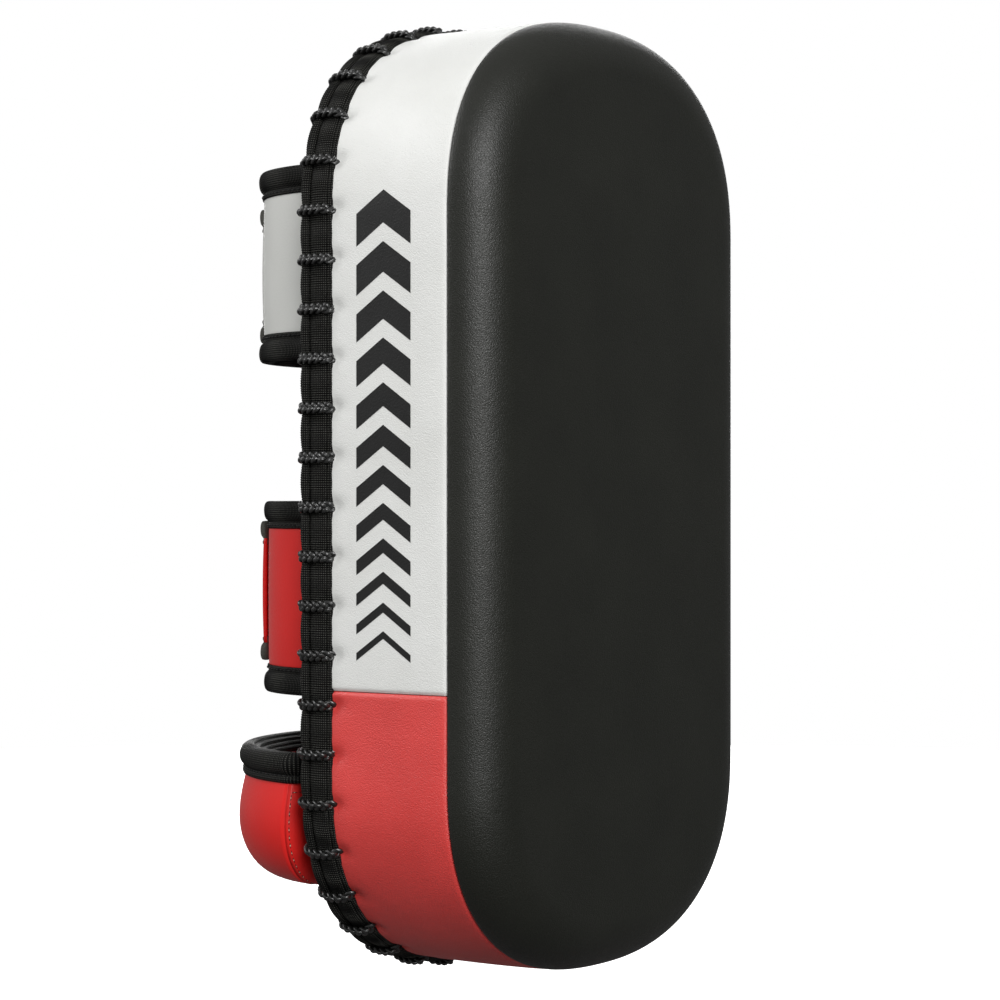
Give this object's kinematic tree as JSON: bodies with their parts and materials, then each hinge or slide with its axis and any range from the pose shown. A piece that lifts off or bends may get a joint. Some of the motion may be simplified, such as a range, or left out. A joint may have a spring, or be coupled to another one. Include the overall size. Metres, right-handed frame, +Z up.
{
  "type": "thai pad",
  "caption": "Long padded kick pad with rounded ends, laced rear edge, hook-and-loop forearm straps, hand grip and elbow cup.",
  "frame": {"origin": "centre of the back panel's outer face, where the forearm lies", "axes": "+Z up along the pad's length towards the hand grip, +Y away from the strike face, +X to the closure flaps' sewn side"},
  "size_m": [0.2092, 0.1773, 0.403],
  "materials": {
    "black_leather": "satin fine-grain synthetic leather",
    "white_leather": "satin pebble-grain synthetic leather",
    "red_leather": "satin pebble-grain synthetic leather",
    "black_webbing": "ribbed woven binding tape",
    "black_cord": "braided glossy cord",
    "grey_foam": "closed-cell foam",
    "hook_and_loop": "hook and loop tape"
  },
  "bodies": {
    "pad": {"strike_face_cover": "black_leather", "gusset_white": "white_leather", "gusset_red": "red_leather", "back_panel": "black_leather", "foam_front": "grey_foam", "foam_core": "grey_foam", "foam_back": "grey_foam", "gusset_binding": "black_webbing", "back_binding": "black_webbing", "lacing_cord": "black_cord", "grip_patch_left": "black_leather", "grip_patch_right": "black_leather", "elbow_cup_outer": "red_leather", "elbow_cup_side_left": "red_leather", "elbow_cup_side_right": "red_leather", "elbow_cup_padding": "grey_foam", "elbow_cup_lining": "red_leather", "elbow_cup_rim_binding": "black_webbing", "upper_strap_base_foot": "white_leather", "upper_strap_closure_foot": "white_leather", "lower_strap_base_foot": "red_leather", "lower_strap_closure_foot": "red_leather"},
    "upper_base": {"upper_strap_base_flap": "white_leather", "upper_strap_base_binding_top": "black_webbing", "upper_strap_base_binding_bottom": "black_webbing", "upper_strap_loop_patch": "hook_and_loop"},
    "upper_closure": {"upper_strap_closure_flap": "white_leather", "upper_strap_closure_binding_top": "black_webbing", "upper_strap_closure_binding_bottom": "black_webbing", "upper_strap_hook_patch": "hook_and_loop"},
    "lower_base": {"lower_strap_base_flap": "red_leather", "lower_strap_base_binding_top": "black_webbing", "lower_strap_base_binding_bottom": "black_webbing", "lower_strap_loop_patch": "hook_and_loop"},
    "lower_closure": {"lower_strap_closure_flap": "red_leather", "lower_strap_closure_binding_top": "black_webbing", "lower_strap_closure_binding_bottom": "black_webbing", "lower_strap_hook_patch": "hook_and_loop"},
    "grip": {"grip_core": "black_webbing", "grip_foam": "grey_foam", "grip_cover": "black_leather"}
  },
  "joints": [
    {"name": "upper_closure_peel", "type": "hinge", "parent": "pad", "child": "upper_closure", "pos_m": [0.077, 0.0105, 0], "axis": [0, 0, -1], "range_deg": [0, 90]},
    {"name": "upper_base_open", "type": "hinge", "parent": "pad", "child": "upper_base", "pos_m": [-0.0767, 0.0105, 0], "axis": [0, 0, 1], "range_deg": [0, 32]},
    {"name": "lower_closure_peel", "type": "hinge", "parent": "pad", "child": "lower_closure", "pos_m": [0.077, 0.0105, 0], "axis": [0, 0, -1], "range_deg": [0, 90]},
    {"name": "lower_base_open", "type": "hinge", "parent": "pad", "child": "lower_base", "pos_m": [-0.0767, 0.0105, 0], "axis": [0, 0, 1], "range_deg": [0, 32]},
    {"name": "grip_tilt", "type": "hinge", "parent": "pad", "child": "grip", "pos_m": [0, 0.003, 0.158], "axis": [1, 0, 0], "range_deg": [-12, 12], "stiffness_Nm_per_rad": 2}
  ],
  "couplings": [
    {"joint": "upper_base_open", "follows": "upper_closure_peel", "ratio": 0.35},
    {"joint": "lower_base_open", "follows": "lower_closure_peel", "ratio": 0.35}
  ]
}
